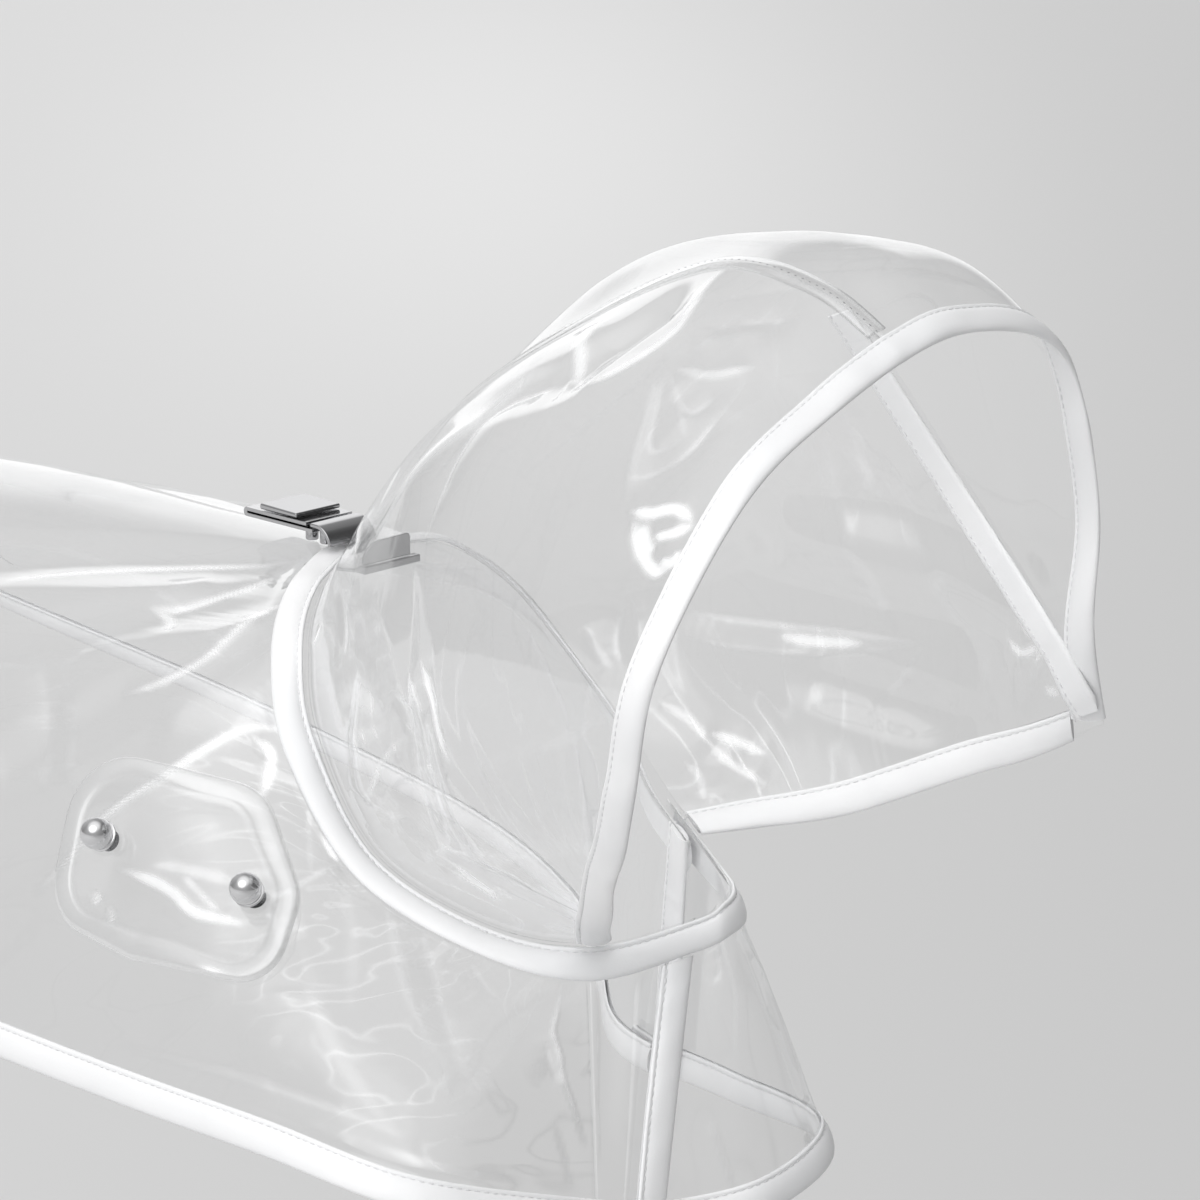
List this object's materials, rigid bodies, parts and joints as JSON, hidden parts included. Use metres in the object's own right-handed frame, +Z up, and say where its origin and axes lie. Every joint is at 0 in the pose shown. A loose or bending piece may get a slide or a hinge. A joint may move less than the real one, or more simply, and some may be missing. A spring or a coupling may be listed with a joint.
{
  "type": "dog windbreaker",
  "caption": "Hooded dog windbreaker in clear film with white bound edges, a metal clasp at the nape and a side patch with ball studs, in its worn shape.",
  "frame": {"origin": "nape of the neck, where the crown seam of the hood meets the collar and the clasp holds the two", "axes": "+X towards the wearer's head, +Y to the wearer's left, +Z up"},
  "size_m": [0.6734, 0.2821, 0.3148],
  "materials": {
    "clear_film": "clear glossy film",
    "patch_film": "clear film, welded rim",
    "white_binding": "satin white folded tape",
    "polished_steel": "polished"
  },
  "bodies": {
    "root": {"hood_panel_right": "clear_film", "hood_panel_left": "clear_film", "hood_face_binding": "white_binding", "hood_lower_binding_left": "white_binding", "hood_seam_tape_left": "white_binding", "back_panel": "clear_film", "front_panel_right": "clear_film", "chest_panel": "clear_film", "hem_binding": "white_binding", "chest_hem_binding": "white_binding", "front_edge_binding_right": "white_binding", "front_edge_binding_left": "white_binding", "collar_band_right": "white_binding", "collar_band_left": "white_binding", "patch_right": "patch_film", "ball_stud_right_rear": "polished_steel", "stud_cap_right_rear": "polished_steel", "ball_stud_right_front": "polished_steel", "stud_cap_right_front": "polished_steel", "clasp_base": "polished_steel", "clasp_tile": "polished_steel", "clasp_roll": "polished_steel", "clasp_inner": "polished_steel", "clasp_post_rear": "polished_steel", "clasp_post_front": "polished_steel"}
  },
  "joints": []
}
